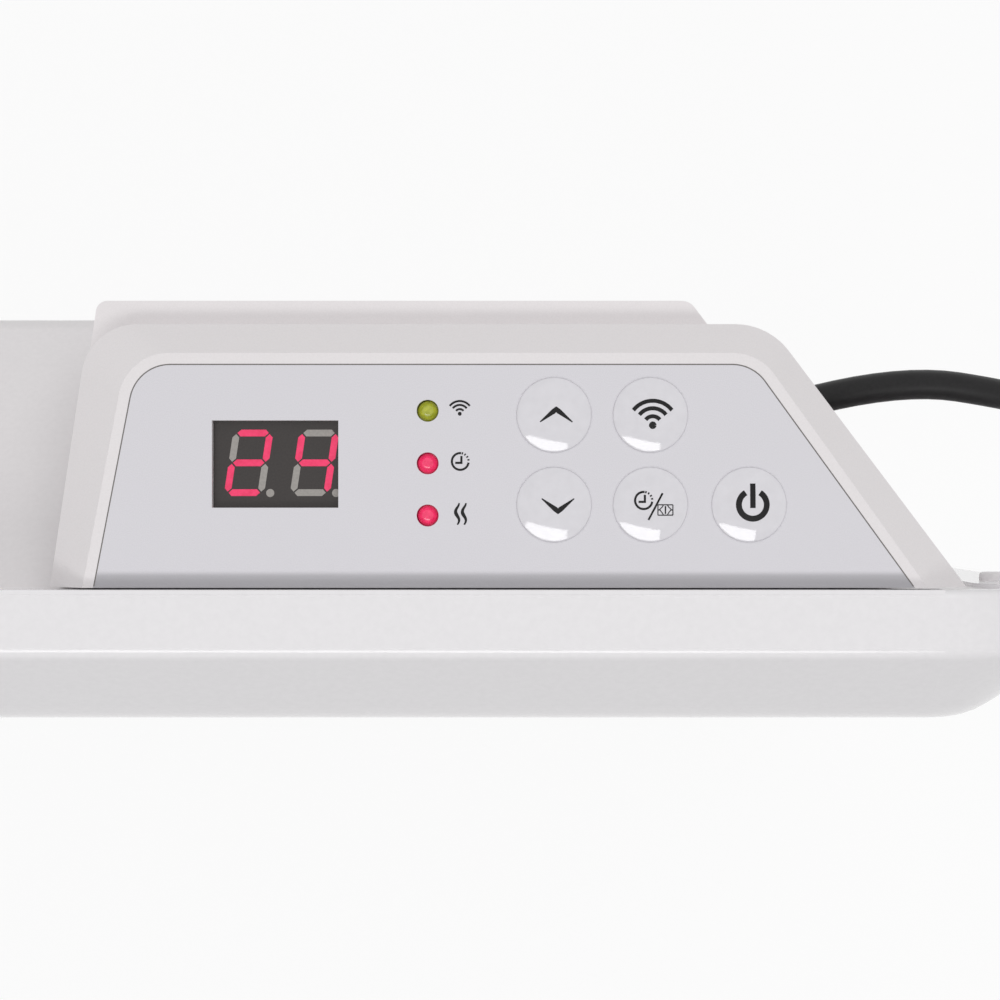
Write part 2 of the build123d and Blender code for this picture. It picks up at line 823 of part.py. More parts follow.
# Strain relief: a moulded sleeve whose waist is clamped in the base's boss
with BuildPart() as cable_gland:
    backwards = (-gland_way[0], -gland_way[1], 0)
    sideways = (gland_way[1], -gland_way[0], 0)
    with BuildSketch(Plane(origin=gland_end, x_dir=backwards, z_dir=sideways)):
        with BuildLine():
            Polyline(
                (0, cord_radius),
                (0, cord_radius + 1.0),
                (9.5, cord_radius + 2.6),
                (9.5, cord_radius + 3.6),
                (gland_boss_back / 2, cord_radius + 3.6),
                (gland_boss_back / 2, gland_bore),
                (gland_boss_back, gland_bore),
                (gland_boss_back, gland_bore + 0.9),
                (26, 5.9),
                (26, cord_radius),
                close=True,
            )
        make_face()
    revolve(axis=Axis(gland_end, gland_way))

# Inside the base the sheath ends in a clamp and the lead goes on down into the case
inner_end = tuple(e - 30 * w for e, w in zip(gland_end, gland_way))
inner_points = [
    gland_end,
    inner_end,
    (inner_end[0] - 18, inner_end[1] - 5, cord_z - 6),
    (housing_x - 5, 24, 385),
    (housing_x - 5, 30, 350),
]
inner_lead, _ = tube(inner_points, cord_radius, [11, 11, 16])
inner_lead.label = "inner_lead"
export_step(inner_lead, "parts/inner_lead.step")

# Free lead: from the strain relief it falls to the floor, runs up to the coil and ends in the plug
coil_start = (coil_middle[0], coil_middle[1] - coil_outer, cord_radius + 0.1)
cord_points = [
    gland_end,
    tuple(e + 20.6 * w for e, w in zip(gland_end, gland_way)),
    (335.0, 30.9, 412.4),
    (362.0, 25.0, 400.0),
    (386.0, 19.0, 368.0),
    (403.0, 14.0, 318.0),
    (414.0, 10.0, 262.0),
    (421.5, 7.5, 200.0),
    (428.0, 6.5, 138.0),
    (435.0, 6.0, 82.0),
    (443.0, 4.5, 42.0),
    (458.0, -1.0, 14.0),
    (482.0, -10.0, cord_radius + 0.1),
    (514.0, -19.0, cord_radius + 0.1),
    (546.0, coil_start[1], cord_radius + 0.1),
    coil_start,
]


def easy_bends(points):
    """Radius at each corner, as large as the two runs beside it allow."""
    bends = []
    for before, here, after in zip(points, points[1:], points[2:]):
        come = Vector(here) - Vector(before)
        go = Vector(after) - Vector(here)
        half_turn = math.radians(come.get_angle(go)) / 2
        bends.append(0.45 * min(come.length, go.length) / math.tan(half_turn))
    return bends


cord_bends = easy_bends(cord_points)
mains_cord, cord_line = tube(cord_points, cord_radius, cord_bends)
print("cord radii", [round(r) for r in cord_bends])
cord_section = math.pi * cord_radius**2
print("cord length", round(cord_line.length))
print("cord volume over section", round(mains_cord.volume / cord_section))


# Coil: the turns spiral in on the floor, climb at the reversal and spiral out on top
def coil_at(turn):
    """Point and direction on the coil after a number of turns."""
    half = coil_turns / 2
    inward = min(turn, coil_turns - turn) / half
    radius = coil_outer - (coil_outer - coil_inner) * inward
    climb = min(max(turn - half + 0.25, 0) / 0.5, 1)
    level = coil_rise * (3 * climb**2 - 2 * climb**3)
    angle = 2 * math.pi * turn - math.pi / 2
    return Vector(
        coil_middle[0] + radius * math.cos(angle),
        coil_middle[1] + radius * math.sin(angle),
        coil_start[2] + level,
    )


def coil_heading(turn):
    step = 0.001
    return (coil_at(turn + step) - coil_at(turn - step)).normalized()


def biarc(start, start_way, end, end_way):
    """Two tangent arcs between two points whose directions are given."""
    chord = end - start
    both = start_way + end_way
    share = 2 * (1 - start_way.dot(end_way))
    part = chord.dot(both)
    reach = (math.sqrt(part**2 + share * chord.dot(chord)) - part) / share
    middle = (start + end + (start_way - end_way) * reach) / 2
    first = TangentArc(start, middle, tangent=start_way)
    TangentArc(middle, end, tangent=first % 1)


quarters = round(coil_turns * 4)
with BuildPart() as cord_coil:
    with BuildLine() as coil_path:
        way_in = Vector(1, 0, 0)
        way_out = Vector(-1, 0, 0)
        for quarter in range(quarters):
            turns = (quarter / 4, (quarter + 1) / 4)
            ways = [coil_heading(t) for t in turns]
            if quarter == 0:
                ways[0] = way_in
            if quarter == quarters - 1:
                ways[1] = way_out
            biarc(coil_at(turns[0]), ways[0], coil_at(turns[1]), ways[1])
        coil_end = coil_at(coil_turns)
        tail_start = coil_end + way_out * (2 * cord_radius)
        Line(coil_end, tail_start)
    with BuildSketch(Plane(origin=coil_at(0), z_dir=way_in)):
        Circle(cord_radius)
    sweep()

samples = [coil_at(coil_turns * n / 600) for n in range(601)]
nearest = min(
    (samples[a] - samples[b]).length
    for a in range(len(samples))
    for b in range(a + 60, len(samples))
)
coil_length = coil_path.wires()[0].length
print("coil length", round(coil_length), "least gap to itself", round(nearest - 2 * cord_radius, 2))

# Tail from the coil up into the plug
plug_back_x = tail_start.X - plug_tail
tail_points = [
    tuple(tail_start),
    (tail_start.X - 16, tail_start.Y, tail_start.Z),
    (plug_back_x + 16, tail_start.Y, plug_axis_z),
    (plug_back_x, tail_start.Y, plug_axis_z),
]
tail_bends = easy_bends(tail_points)
cord_tail, tail_line = tube(tail_points, cord_radius, tail_bends)
print("tail length", round(tail_line.length), "radii", [round(r) for r in tail_bends])
print("whole lead", round(cord_line.length + coil_length + tail_line.length))
for name, wire in (("mains_cord", mains_cord), ("cord_tail", cord_tail)):
    wire.label = name
    export_step(wire, f"parts/{name}.step")

# Plug: round moulded body with two flats of earth grooves, two round pins
plug_at = (plug_back_x, tail_start.Y, plug_axis_z)
plug_plane = Plane(origin=plug_at, x_dir=(-1, 0, 0), z_dir=(0, 1, 0))
plug_face_x = plug_back_x - plug_length
with BuildPart() as plug_body:
    with BuildSketch(plug_plane):
        with BuildLine():
            FilletPolyline(
                (0, 0),
                (0, cord_radius + 1.2),
                (22, 6.5),
                (24, 10.5),
                (40, 12.5),
                (46, 18.4),
                (plug_length, 18.0),
                (plug_length, 0),
                radius=[0.8, 1.5, 3, 8, 3, 1.2],
            )
            Line((plug_length, 0), (0, 0))
        make_face()
    revolve(axis=Axis(plug_at, (-1, 0, 0)))
    for side in (-1, 1):
        groove = (plug_face_x, plug_at[1], plug_axis_z + side * 17.6)
        with BuildSketch(Plane(origin=groove, z_dir=(1, 0, 0))):
            Rectangle(10, 5)
        extrude(amount=14, mode=Mode.SUBTRACT)

with BuildPart() as plug_contacts:
    with BuildSketch(Plane(origin=(plug_face_x, plug_at[1], plug_axis_z), z_dir=(-1, 0, 0))):
        with GridLocations(0, pin_pitch, 1, 2):
            Circle(pin_radius)
    extrude(amount=pin_length)
    fillet(plug_contacts.faces().sort_by(Axis.X)[:2].edges(), 1.2)


# Feet: a skid on two pads, with a neck that lies against the case's lower slope
def slope_z(y):
    """Height of the case's lower slope at depth y."""
    return panel_middle - case_height / 2 + case_taper * (y - case_front_y)


def foot(x):
    seat = on_slope(x, foot_screw_y, True)
    with BuildPart() as body:
        with BuildSketch(Plane(origin=(x, 0, 0), x_dir=(0, 1, 0), z_dir=(1, 0, 0))):
            with BuildLine():
                FilletPolyline(
                    (-foot_reach, 9),
                    (-foot_reach, skid_z),
                    (foot_reach, skid_z),
                    (foot_reach, 9),
                    (44, 18),
                    (36, slope_z(36)),
                    (-3, slope_z(-3)),
                    (-12, 18),
                    radius=[4, 1, 1, 4, 22, 0.5, 0.5, 22],
                    close=True,
                )
            make_face()
        extrude(amount=foot_width / 2, both=True)
        with BuildSketch(seat.offset(5)):
            with GridLocations(foot_screw_pitch, 0, 2, 1):
                Circle(4.5)
        extrude(amount=80, mode=Mode.SUBTRACT)
        with BuildSketch(seat):
            with GridLocations(foot_screw_pitch, 0, 2, 1):
                Circle(foot_screw_radius + 0.1)
        extrude(amount=6, mode=Mode.SUBTRACT)
        with BuildSketch(Plane.XY.offset(skid_z)):
            with Locations((x, -pad_y), (x, pad_y)):
                Circle(pad_radius)
        extrude(amount=pad_height - skid_z, mode=Mode.SUBTRACT)
    return body.part


for name, x in (("foot_left", -foot_x), ("foot_right", foot_x)):
    piece = foot(x)
    piece.label = name
    export_step(piece, f"parts/{name}.step")

with BuildPart() as foot_pads:
    with BuildSketch(Plane.XY):
        with GridLocations(2 * foot_x, 2 * pad_y, 2, 2):
            Circle(pad_radius)
    extrude(amount=pad_height)
    fillet(foot_pads.edges().group_by(Axis.Z)[0], 0.8)

with BuildPart() as foot_screws:
    for side in (-1, 1):
        seat = on_slope(side * foot_x, foot_screw_y, True)
        with BuildSketch(seat.offset(5)):
            with GridLocations(foot_screw_pitch, 0, 2, 1):
                Circle(4)
        extrude(amount=2.4)
        with BuildSketch(seat.offset(5)):
            with GridLocations(foot_screw_pitch, 0, 2, 1):
                Circle(foot_screw_radius)
        extrude(amount=-12)

# The rest of the pieces, each written under its own name
for name, piece in (
    ("front_panel", front_panel),
    ("rear_case", rear_case),
    ("case_screws", case_screws),
    ("housing_cover", housing_cover),
    ("fascia_film", fascia_film),
    ("housing_base", housing_base),
    ("housing_screws", housing_screws),
    ("key_switches", key_switches),
    ("display_module", display_module),
    ("control_board", control_board),
    ("board_screws", board_screws),
    ("heating_element", heating_element),
    ("ceramic_bushes", ceramic_bushes),
    ("element_brackets", element_brackets),
    ("bracket_screws", bracket_screws),
    ("cutout_bracket", cutout_bracket),
    ("thermal_cutout", thermal_cutout),
    ("air_sensor", air_sensor),
    ("sensor_clip", sensor_clip),
    ("heat_baffle", heat_baffle),
    ("power_board", power_board),
    ("power_board_posts", power_board_posts),
    ("power_relay", power_relay),
    ("supply_transformer", supply_transformer),
    ("capacitors", capacitors),
    ("terminal_block", terminal_block),
    ("terminal_screws", terminal_screws),
    ("tilt_box", tilt_box),
    ("tilt_weight", tilt_weight),
    ("earth_stud", earth_stud),
    ("earth_nut", earth_nut),
    ("earth_tag", earth_tag),
    ("ribbon_cable", ribbon_cable),
    ("cable_gland", cable_gland),
    ("cord_coil", cord_coil),
    ("plug_body", plug_body),
    ("plug_contacts", plug_contacts),
    ("foot_pads", foot_pads),
    ("foot_screws", foot_screws),
):
    piece.part.label = name
    export_step(piece.part, f"parts/{name}.step")
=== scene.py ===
import math

import bmesh
import bpy
from mathutils import Matrix, Vector


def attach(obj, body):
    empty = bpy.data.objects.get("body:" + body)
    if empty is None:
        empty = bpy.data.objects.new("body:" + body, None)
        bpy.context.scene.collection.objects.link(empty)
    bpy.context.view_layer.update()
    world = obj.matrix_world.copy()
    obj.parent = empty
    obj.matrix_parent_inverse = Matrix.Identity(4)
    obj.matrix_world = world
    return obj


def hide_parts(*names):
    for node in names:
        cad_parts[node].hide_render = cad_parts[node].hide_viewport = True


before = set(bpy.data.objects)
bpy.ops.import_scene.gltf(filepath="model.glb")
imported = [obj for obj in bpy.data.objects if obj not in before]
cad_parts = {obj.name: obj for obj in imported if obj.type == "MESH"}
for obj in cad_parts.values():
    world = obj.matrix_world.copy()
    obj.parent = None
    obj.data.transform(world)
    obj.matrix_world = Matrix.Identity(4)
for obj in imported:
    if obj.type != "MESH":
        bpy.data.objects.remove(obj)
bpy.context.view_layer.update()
print("frame loaded:", len(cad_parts), "nodes")

perMetre = 1000  # millimetres

# The places that the photograph's view is built round, in metres
layout = {
    "housingX": 0.217,  # middle of the control housing
    "housingY": 0.007,
    "fasciaZ": 0.451,  # face of the film
    "cordRadius": 0.0034,
}


def at(x, y, z):  # millimetres from the housing's middle, z from the film's face
    middle = (layout["housingX"], layout["housingY"], layout["fasciaZ"])
    return Vector([place + shift / perMetre for place, shift in zip(middle, (x, y, z))])


# Camera: straight down on the fascia, half a metre above it
cameraSettings = {"height": 0.5, "focal": 2350, "pixels": 1000, "sensor": 36.0, "clip": 0.01}


def addCamera():
    data = bpy.data.cameras.new("camera")
    data.sensor_width = cameraSettings["sensor"]
    data.lens = cameraSettings["focal"] / cameraSettings["pixels"] * cameraSettings["sensor"]
    data.clip_start = cameraSettings["clip"]
    camera = bpy.data.objects.new("camera", data)
    camera.location = at(0, 0, cameraSettings["height"] * perMetre)
    bpy.context.scene.collection.objects.link(camera)
    bpy.context.scene.camera = camera


addCamera()


# Materials
def linear(hexColour):  # linear RGBA of an sRGB hex string
    parts = [int(hexColour[n:n + 2], 16) / 255 for n in (0, 2, 4)]
    return [p / 12.92 if p <= 0.04045 else ((p + 0.055) / 1.055) ** 2.4 for p in parts] + [1.0]


def newMaterial(name):
    material = bpy.data.materials.new(name)
    material.use_nodes = True
    material.node_tree.nodes.clear()
    return material


def addNode(material, kind, settings=None, links=None):  # settings are sockets or properties by name
    node = material.node_tree.nodes.new(kind)
    for key, value in (settings or {}).items():
        if isinstance(key, int) or key in node.inputs:
            node.inputs[key].default_value = value
        else:
            setattr(node, key, value)
    for socket, source in (links or {}).items():
        material.node_tree.links.new(source, node.inputs[socket])
    return node


def rampColours(ramp, stops):  # stops are (position, hex) pairs
    for element, (position, colour) in zip(ramp.color_ramp.elements, stops):
        element.position = position
        element.color = linear(colour)


grainLook = {
    "stops": (0.3, 0.7),  # where the dark and the light colour sit in the grain
    "cloudGrains": 25, "cloudDetail": 3.0,  # patches in which the roughness changes
    "leastRough": 0.02,
    "coatRough": 0.06,
}


def surface(name, dark, light, grainMm, roughness, bump=0.0, bumpMm=0.02, metallic=0.0, coat=0.0,
            detail=2.0, spread=0.06, ior=1.5, stretch=(1, 1, 1)):  # grain of a real size
    material = newMaterial(name)
    place = addNode(material, "ShaderNodeTexCoord").outputs["Object"]
    mapping = addNode(material, "ShaderNodeMapping", {"Scale": stretch}, {"Vector": place})
    grain = addNode(
        material, "ShaderNodeTexNoise", {"Scale": perMetre / grainMm, "Detail": detail},
        {"Vector": mapping.outputs["Vector"]},
    )
    tint = addNode(material, "ShaderNodeValToRGB", None, {"Fac": grain.outputs["Fac"]})
    rampColours(tint, zip(grainLook["stops"], (dark, light)))
    cloud = addNode(
        material, "ShaderNodeTexNoise",
        {"Scale": perMetre / (grainMm * grainLook["cloudGrains"]), "Detail": grainLook["cloudDetail"]},
        {"Vector": mapping.outputs["Vector"]},
    )
    rough = addNode(
        material, "ShaderNodeMapRange",
        {"To Min": max(roughness - spread, grainLook["leastRough"]), "To Max": roughness + spread},
        {"Value": cloud.outputs["Fac"]},
    )
    shader = addNode(
        material, "ShaderNodeBsdfPrincipled",
        {"Metallic": metallic, "IOR": ior, "Coat Weight": coat, "Coat Roughness": grainLook["coatRough"]},
        {"Base Color": tint.outputs["Color"], "Roughness": rough.outputs["Result"]},
    )
    if bump:
        relief = addNode(
            material, "ShaderNodeBump", {"Strength": bump, "Distance": bumpMm / perMetre},
            {"Height": grain.outputs["Fac"]},
        )
        material.node_tree.links.new(relief.outputs["Normal"], shader.inputs["Normal"])
    addNode(material, "ShaderNodeOutputMaterial", None, {"Surface": shader.outputs["BSDF"]})
    return material


# Powder coat on pressed steel: glossy, with the faint orange peel of the cured film
powderGloss = surface(
    "powderCoatGlossSteel", "f0eef0", "f3f1f3", 1.6, 0.2, 0.25, 0.012, coat=0.35, spread=0.03,
)
# The same coat in a satin grade on the case, which shows a slightly coarser peel
powderSatin = surface("powderCoatSatinSteel", "ebe8e9", "eeebec", 1.1, 0.42, 0.3, 0.015, spread=0.05)
# ABS moulded in a lightly sparked tool: a warm white with a fine even texture
absTextured = surface("absTexturedMoulded", "ece8e9", "f0eced", 0.35, 0.38, 0.5, 0.012, spread=0.04)
# ABS moulded in a polished tool: the button caps
absPolished = surface("absPolishedMoulded", "dfdde2", "e4e2e7", 2.5, 0.08, 0.1, 0.01, coat=1.0, spread=0.02)
# PET film printed silver grey on its back: a fine speckle under a satin face
petFilm = surface(
    "petFilmPrintedSilver", "dcdadf", "e4e2e7", 0.22, 0.32, 0.15, 0.004, detail=4.0, spread=0.03,
)
# Flexible PVC sheath, extruded: satin black with a faint drag along its length
pvcCord = surface("pvcSheathExtruded", "121112", "191819", 0.8, 0.45, 0.35, 0.02, spread=0.06, ior=1.38)
# PVC moulded over the plug and the strain relief: blacker and duller than the sheath
pvcMoulded = surface("pvcMouldedOver", "131213", "191819", 0.5, 0.55, 0.5, 0.03, spread=0.05)
# Nickel-plated brass, turned: its grain is fine along the pin and long round it
nickelPin = surface(
    "nickelPlatedBrassTurned", "b8b4ac", "cdcac2", 0.3, 0.22, 0.2, 0.01, metallic=1.0, stretch=(6, 1, 1),
)
# Zinc-plated steel: screws and brackets
zincSteel = surface("zincPlatedSteel", "a2a5a8", "b9bbbe", 1.2, 0.35, 0.2, 0.01, metallic=1.0)
# Mill-finish aluminium: the finned element, streaked along its length
millAluminium = surface(
    "aluminiumMillFinish", "b4b6b8", "c9cbcd", 0.8, 0.38, 0.3, 0.01, metallic=1.0, stretch=(0.1, 1, 1),
)
# Brass, turned
turnedBrass = surface("brassTurned", "a88545", "c09a55", 0.5, 0.3, 0.2, 0.01, metallic=1.0)
# Steatite, fired unglazed
steatite = surface("steatiteUnglazed", "dcd6cb", "e6e1d8", 0.6, 0.7, 0.4, 0.03)
# Black ABS or PBT, moulded: relay, switches, display case
blackMoulded = surface("pbtBlackMoulded", "141414", "1c1c1c", 0.5, 0.5, 0.4, 0.02)
# Display face: dark warm grey printed on polycarbonate, nearly flat
displayFace = surface("polycarbonateDisplayFace", "2d2827", "342f2d", 0.4, 0.3, 0.1, 0.005)
# Grey nylon, moulded: clips, posts and terminal block
greyNylon = surface("nylonGreyMoulded", "8a8a8c", "949496", 0.6, 0.5, 0.3, 0.02)
# Glass-fibre board with green solder resist, whose weave shows faintly
solderResist = surface("glassFibreBoardResist", "0d3a22", "12492b", 0.4, 0.3, 0.3, 0.01)
# Styrene rubber, moulded: the pads under the feet
padRubber = surface("rubberPadMoulded", "2a2a2b", "343435", 0.7, 0.75, 0.5, 0.04)
# Epoxy ink, screen printed: near black icons, slightly raised
printedInk = surface("epoxyInkScreenPrinted", "0b0a0c", "131214", 0.3, 0.5, 0.2, 0.004, ior=1.35)
# Painted shadow along the film's cut edge and the groove beside it, dull and dark
grooveShadowPaint = surface("grooveShadowPainted", "6a6665", "7d7977", 0.3, 0.6, 0.2, 0.004)
# Polycarbonate diffuser of the unlit segments
segmentOff = surface("diffuserUnlit", "9a9692", "a5a19c", 0.5, 0.45, 0.1, 0.005)


def darkenFront(material, front, reach, least):  # full colour from a reach behind the front, in metres
    nodes = material.node_tree.nodes
    shader = next(n for n in nodes if n.type == "BSDF_PRINCIPLED")
    colour = shader.inputs["Base Color"].links[0].from_socket
    coords = addNode(material, "ShaderNodeTexCoord")
    place = addNode(material, "ShaderNodeSeparateXYZ", None, {"Vector": coords.outputs["Object"]})
    share = addNode(
        material, "ShaderNodeMapRange",
        {
            "interpolation_type": "SMOOTHERSTEP", "From Min": front, "From Max": front + reach,
            "To Min": least, "To Max": 1.0,
        },
        {"Value": place.outputs["Y"]},
    )
    scaled = addNode(
        material, "ShaderNodeVectorMath", {"operation": "SCALE"},
        {0: colour, "Scale": share.outputs["Result"]},
    )
    material.node_tree.links.new(scaled.outputs["Vector"], shader.inputs["Base Color"])


# Stands in for the shade on the film's front strip, which the soft light doesn't cast
filmShade = {
    "front": -0.0165, "reach": 0.0018,  # metres, the front from the housing's middle
    "least": 0.63,  # share of the colour that is left there
}
darkenFront(petFilm, layout["housingY"] + filmShade["front"], filmShade["reach"], filmShade["least"])


glowLook = {"patchScale": 900.0, "stops": (0.35, 0.65), "coat": 0.6, "coatRough": 0.05}


def glowing(name, colour, core, strength, roughness=0.25):  # tinted resin with a lamp behind it
    material = newMaterial(name)
    coords = addNode(material, "ShaderNodeTexCoord")
    cloud = addNode(
        material, "ShaderNodeTexNoise", {"Scale": glowLook["patchScale"]},
        {"Vector": coords.outputs["Object"]},
    )
    tint = addNode(material, "ShaderNodeValToRGB", None, {"Fac": cloud.outputs["Fac"]})
    rampColours(tint, zip(glowLook["stops"], (colour, core)))
    shader = addNode(
        material, "ShaderNodeBsdfPrincipled",
        {
            "Roughness": roughness, "Emission Strength": strength,
            "Coat Weight": glowLook["coat"], "Coat Roughness": glowLook["coatRough"],
        },
        {"Base Color": tint.outputs["Color"], "Emission Color": tint.outputs["Color"]},
    )
    addNode(material, "ShaderNodeOutputMaterial", None, {"Surface": shader.outputs["BSDF"]})
    return material


# Red light through the diffuser reads pink, and the lamps' lenses glow from inside
segmentOn = glowing("diffuserLitRed", "d41a54", "e0265f", 0.33)
lampRed = glowing("epoxyLensRed", "d81855", "ea2e66", 0.3, 0.12)
lampGreen = glowing("epoxyLensYellowGreen", "8f9618", "a8ac2a", 0.22, 0.12)


# Carried-over nodes take their finish here
finishes = {
    powderGloss: ["front_panel"],
    powderSatin: ["rear_case", "case_screws"],
    absTextured: ["housing_cover", "housing_base", "foot_left", "foot_right"],
    absPolished: ["button_up", "button_down", "button_wifi", "button_timer", "button_power"],
    petFilm: ["fascia_film"],
    displayFace: ["display_module"],
    pvcMoulded: ["cable_gland", "plug_body"],
    pvcCord: ["inner_lead", "element_lead", "cutout_lead", "earth_lead"],
    nickelPin: ["plug_contacts"],
    zincSteel: [
        "housing_screws", "board_screws", "bracket_screws", "element_brackets", "cutout_bracket",
        "heat_baffle", "terminal_screws", "earth_stud", "earth_nut", "foot_screws",
    ],
    millAluminium: ["heating_element"],
    turnedBrass: ["tilt_weight", "earth_tag"],
    steatite: ["ceramic_bushes"],
    blackMoulded: [
        "key_switches", "plunger_up", "plunger_down", "plunger_wifi", "plunger_timer", "plunger_power",
        "thermal_cutout", "power_relay", "supply_transformer", "capacitors", "tilt_box",
    ],
    greyNylon: ["sensor_clip", "power_board_posts", "terminal_block", "ribbon_cable"],
    solderResist: ["control_board", "power_board"],
    padRubber: ["foot_pads"],
    lampGreen: ["lamp_wifi"],
    # The air sensor takes the red lens's glow too: a painted glow on a part that is no lamp
    lampRed: ["lamp_timer", "lamp_heat", "air_sensor"],
}


def dress():
    for material, names in finishes.items():
        for name in names:
            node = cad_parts[name]
            for slot in node.material_slots:
                slot.material = material


dress()
print("nodes dressed")


# Mains lead: one open spline from the strain relief to the plug, its coil worked out by a loop
lead = {
    "tip": (72.0, 22.9, 413.0),  # from the housing's middle in plan, above the floor, in millimetres
    "turn": 14.0,  # degrees from +X in which it leaves
    "firstRun": 20.6,
    "fall": [  # places in the frame, down to the floor and along it
        (335.0, 30.9, 412.4), (362.0, 25.0, 400.0), (386.0, 19.0, 368.0), (403.0, 14.0, 318.0),
        (414.0, 10.0, 262.0), (421.5, 7.5, 200.0), (428.0, 6.5, 138.0), (435.0, 6.0, 82.0),
        (443.0, 4.5, 42.0), (458.0, -1.0, 14.0), (482.0, -10.0, 3.5), (514.0, -19.0, 3.5),
        (546.0, -22.4, 3.5),
    ],
    "coilMiddle": (572.0, 25.0, 3.5),
    "coilTurns": 5.5,
    "coilOuter": 47.4,
    "coilInner": 27.3,
    "coilRise": 7.6,  # from the lower layer to the upper
    "riseTurns": 0.5,
    "pointsPerTurn": 16,
    "straight": 6.8,
    "tail": 54.0,
    "bendReach": 16,
    "plugZ": 18.6,
    "length": 1.95,  # metres
    "order": 3,
    "roundSteps": 6,
    "runSteps": 8,
}


def coilPoint(turn):  # inward for half the turns, up to a second layer, and outward for the rest
    half = lead["coilTurns"] / 2
    inward = min(turn, lead["coilTurns"] - turn) / half
    radius = lead["coilOuter"] - (lead["coilOuter"] - lead["coilInner"]) * inward
    climb = min(max((turn - half) / lead["riseTurns"] + 0.5, 0), 1)
    level = lead["coilRise"] * (3 * climb**2 - 2 * climb**3)
    angle = 2 * math.pi * turn - math.pi / 2
    x, y, z = lead["coilMiddle"]
    return (x + radius * math.cos(angle), y + radius * math.sin(angle), z + level)


def addLead():
    tipX, tipY, tipZ = lead["tip"]
    tip = (layout["housingX"] * perMetre + tipX, layout["housingY"] * perMetre + tipY, tipZ)
    turn = math.radians(lead["turn"])
    run = lead["firstRun"]
    points = [tip, (tip[0] + run * math.cos(turn), tip[1] + run * math.sin(turn), tipZ)]
    points += lead["fall"]
    steps = round(lead["coilTurns"] * lead["pointsPerTurn"])
    points += [coilPoint(n / lead["pointsPerTurn"]) for n in range(steps + 1)]
    x, y, z = points[-1]
    start = x - lead["straight"]
    back = start - lead["tail"]
    bend = lead["bendReach"]
    plugZ = lead["plugZ"]
    points += [(start, y, z), (start - bend, y, z), (back + bend, y, plugZ), (back, y, plugZ)]
    data = bpy.data.curves.new("mainsLead", "CURVE")
    data.dimensions = "3D"
    data.bevel_depth = layout["cordRadius"]
    data.bevel_resolution = lead["roundSteps"]
    data.resolution_u = lead["runSteps"]
    data.use_fill_caps = True
    spline = data.splines.new("NURBS")
    spline.points.add(len(points) - 1)
    for point, (px, py, pz) in zip(spline.points, points):
        point.co = (px / perMetre, py / perMetre, pz / perMetre, 1)
    spline.order_u = lead["order"]
    spline.use_endpoint_u = True
    piece = bpy.data.objects.new("mainsLead", data)
    bpy.context.scene.collection.objects.link(piece)
    data.materials.append(pvcCord)
    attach(piece, "heater")
    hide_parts("mains_cord", "cord_coil", "cord_tail")


addLead()
print("lead laid")


# Flat printed shapes, built in plan and laid on what carries them
weldReach = 1e-7  # metres


def finish(mesh, name, material, body="heater"):  # makes a bmesh into a piece that rides on a body
    bmesh.ops.remove_doubles(mesh, verts=mesh.verts, dist=weldReach)
    bmesh.ops.recalc_face_normals(mesh, faces=mesh.faces)
    data = bpy.data.meshes.new(name)
    mesh.to_mesh(data)
    mesh.free()
    data.materials.append(material)
    piece = bpy.data.objects.new(name, data)
    bpy.context.scene.collection.objects.link(piece)
    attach(piece, body)
    return piece


def solidOutline(mesh, points, place, thick):  # raises a closed outline into a thin solid
    verts = [mesh.verts.new(place @ Vector((x / perMetre, y / perMetre, 0))) for x, y in points]
    face = mesh.faces.new(verts)
    up = (place.to_3x3() @ Vector((0, 0, 1))).normalized()
    if face.normal.dot(up) < 0:
        face.normal_flip()
    face.normal_update()
    raised = bmesh.ops.extrude_face_region(mesh, geom=[face])
    moved = [v for v in raised["geom"] if isinstance(v, bmesh.types.BMVert)]
    bmesh.ops.translate(mesh, verts=moved, vec=up * thick / perMetre)


def stroke(mesh, points, widths, place, thick):  # raises a pen stroke; widths are first, middle, last
    first, middle, last = widths
    up = place.to_3x3() @ Vector((0, 0, thick / perMetre))
    rungs = []
    for n, here in enumerate(points):
        before = Vector(points[max(n - 1, 0)])
        after = Vector(points[min(n + 1, len(points) - 1)])
        way = (after - before).normalized()
        share = n / (len(points) - 1)
        end = first if share < 0.5 else last
        width = middle + (end - middle) * abs(2 * share - 1)
        side = Vector((-way.y, way.x)) * width / 2
        left, right = Vector(here) + side, Vector(here) - side
        low = [mesh.verts.new(place @ Vector((c.x / perMetre, c.y / perMetre, 0))) for c in (left, right)]
        high = [mesh.verts.new(v.co + up) for v in low]
        rungs.append((low[0], low[1], high[1], high[0]))
    for near, far in zip(rungs, rungs[1:]):
        for n in range(4):
            mesh.faces.new((near[n], near[(n + 1) % 4], far[(n + 1) % 4], far[n]))
    mesh.faces.new(rungs[0])
    mesh.faces.new(rungs[-1])


def straight(start, end, steps=6):
    return [tuple(Vector(start).lerp(Vector(end), n / steps)) for n in range(steps + 1)]


def arc(middle, radius, start, end, steps=16):  # angles in degrees from +X
    angles = [math.radians(start + (end - start) * n / steps) for n in range(steps + 1)]
    return [(middle[0] + radius * math.cos(a), middle[1] + radius * math.sin(a)) for a in angles]


def disc(middle, radius, steps=24):
    return arc(middle, radius, 0, 360 * (steps - 1) / steps, steps - 1)


display = {
    "digits": [(-53.74, 7.95), (-39.65, 7.95)],  # middles
    "lit": ["abged", "fbgc"],  # segments that show 2 and 4
    "height": 14.2,
    "width": 8.6,
    "stroke": 1.45,
    "gap": 0.22,
    "slant": 8.5,  # degrees
    "dot": 0.87,
    "dotFromMiddle": (4.6, -6.45),
    "thick": 0.05,
    "depth": -2.6,  # from the film down to the display's face
}


